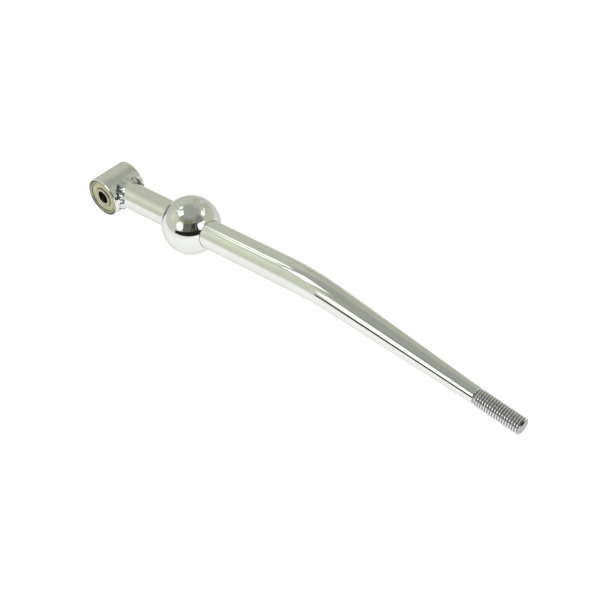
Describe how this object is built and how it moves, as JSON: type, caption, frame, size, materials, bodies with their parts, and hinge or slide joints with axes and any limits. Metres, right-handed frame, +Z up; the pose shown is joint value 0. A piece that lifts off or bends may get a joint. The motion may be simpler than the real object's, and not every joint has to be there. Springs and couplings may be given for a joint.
{
  "type": "gear shift lever",
  "caption": "Chromed gear shift lever: bent tapered shaft with a threaded knob end, a pivot ball, and a welded cross tube with shielded ball bearings.",
  "frame": {"origin": "on the surface the lever lies on, under the middle of its length and on its plane of symmetry", "axes": "+X from the cross tube to the threaded tip, +Y along the cross tube to the left, +Z up as the lever lies on its pivot ball and its tip"},
  "size_m": [0.312, 0.035, 0.0349],
  "materials": {
    "chrome": "bright chrome plate over polished steel",
    "plated_weld": "chrome plate over a ground fillet weld, slightly uneven",
    "ring_steel": "fine-ground bearing steel",
    "shield_steel": "pressed sheet, satin, warm tone",
    "cage_steel": "pressed sheet, matt",
    "ball_steel": "polished bearing ball",
    "sleeve_steel": "turned, dull"
  },
  "bodies": {
    "lever": {"shift_shaft": "chrome", "pivot_ball": "chrome", "cross_tube": "chrome", "tube_weld": "plated_weld", "bearing_left_outer_ring": "ring_steel", "bearing_left_shield_outboard": "shield_steel", "bearing_left_shield_inboard": "shield_steel", "bearing_right_outer_ring": "ring_steel", "bearing_right_shield_outboard": "shield_steel", "bearing_right_shield_inboard": "shield_steel"},
    "inner_races": {"bearing_left_inner_ring": "ring_steel", "bearing_right_inner_ring": "ring_steel", "spacer_sleeve": "sleeve_steel"},
    "cage_left": {"bearing_left_cage_outboard": "cage_steel", "bearing_left_cage_inboard": "cage_steel", "bearing_left_ball_1": "ball_steel", "bearing_left_ball_2": "ball_steel", "bearing_left_ball_3": "ball_steel", "bearing_left_ball_4": "ball_steel", "bearing_left_ball_5": "ball_steel", "bearing_left_ball_6": "ball_steel", "bearing_left_ball_7": "ball_steel"},
    "cage_right": {"bearing_right_cage_outboard": "cage_steel", "bearing_right_cage_inboard": "cage_steel", "bearing_right_ball_1": "ball_steel", "bearing_right_ball_2": "ball_steel", "bearing_right_ball_3": "ball_steel", "bearing_right_ball_4": "ball_steel", "bearing_right_ball_5": "ball_steel", "bearing_right_ball_6": "ball_steel", "bearing_right_ball_7": "ball_steel"}
  },
  "joints": [
    {"name": "linkage_pivot", "type": "hinge", "parent": "lever", "child": "inner_races", "pos_m": [-0.14354, 0, 0.01364], "axis": [0, 1, 0], "continuous": true},
    {"name": "cage_left_turn", "type": "hinge", "parent": "lever", "child": "cage_left", "pos_m": [-0.14354, 0, 0.01364], "axis": [0, 1, 0], "continuous": true},
    {"name": "cage_right_turn", "type": "hinge", "parent": "lever", "child": "cage_right", "pos_m": [-0.14354, 0, 0.01364], "axis": [0, 1, 0], "continuous": true}
  ],
  "couplings": [
    {"joint": "cage_left_turn", "follows": "linkage_pivot", "ratio": 0.3677},
    {"joint": "cage_right_turn", "follows": "linkage_pivot", "ratio": 0.3677}
  ]
}
